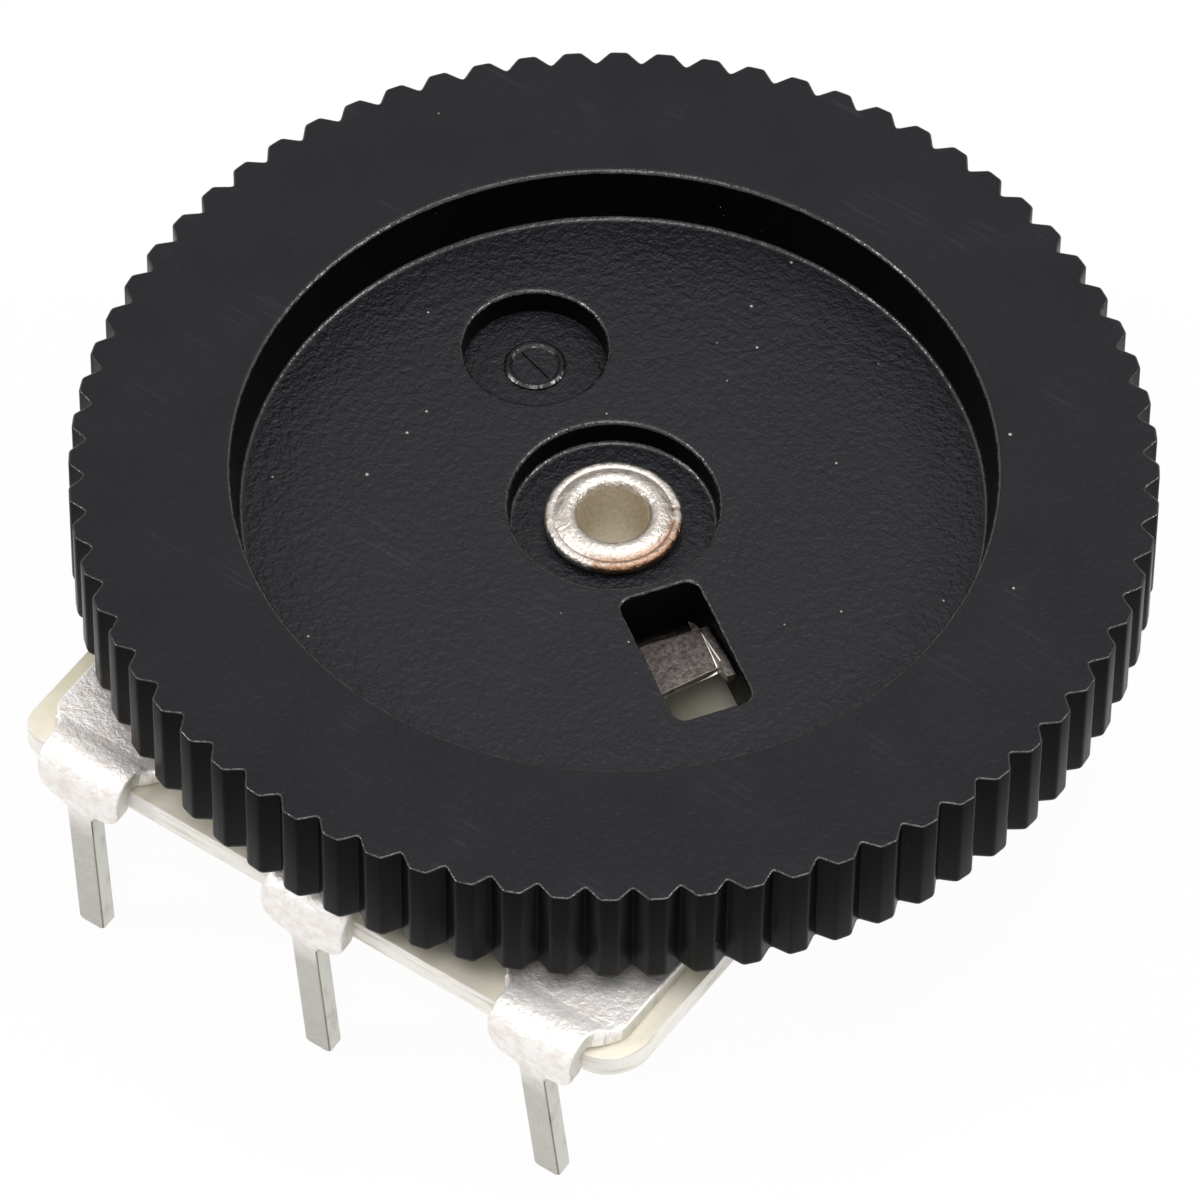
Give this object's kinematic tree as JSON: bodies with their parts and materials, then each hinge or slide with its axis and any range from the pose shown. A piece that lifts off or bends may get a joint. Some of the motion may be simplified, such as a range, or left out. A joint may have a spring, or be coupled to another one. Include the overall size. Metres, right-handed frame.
{
  "type": "thumbwheel potentiometer",
  "caption": "Toothed black dial that turns on a hollow rivet over a small laminate board, with a carbon track, a sprung wiper and bent sheet terminals.",
  "frame": {"origin": "on the rivet's axis, at the underside of the board", "axes": "+X along the row of terminals, -Y towards the terminals, +Z along the rivet towards the dial's recess"},
  "size_m": [0.016, 0.016, 0.0062],
  "materials": {
    "black_plastic": "satin with a fine moulded grain in the recess",
    "plated_spring": "dull plated",
    "plated_rivet": "bright plated",
    "laminate": "pale, slightly translucent",
    "carbon": "matt printed layer",
    "silver_ink": "matt printed layer",
    "tinned_sheet": "tinned, orange-peel grain"
  },
  "bodies": {
    "base": {"board": "laminate", "rivet": "plated_rivet", "carbon_track": "carbon", "silver_pad_left": "silver_ink", "silver_pad_right": "silver_ink", "terminal_left": "tinned_sheet", "terminal_middle": "tinned_sheet", "terminal_right": "tinned_sheet"},
    "dial": {"thumbwheel": "black_plastic", "wiper": "plated_spring"}
  },
  "joints": [
    {"name": "dial_turn", "type": "hinge", "parent": "base", "child": "dial", "pos_m": [0, 0, 0], "axis": [0, 0, 1], "range_deg": [-206.5, 93.5]}
  ]
}
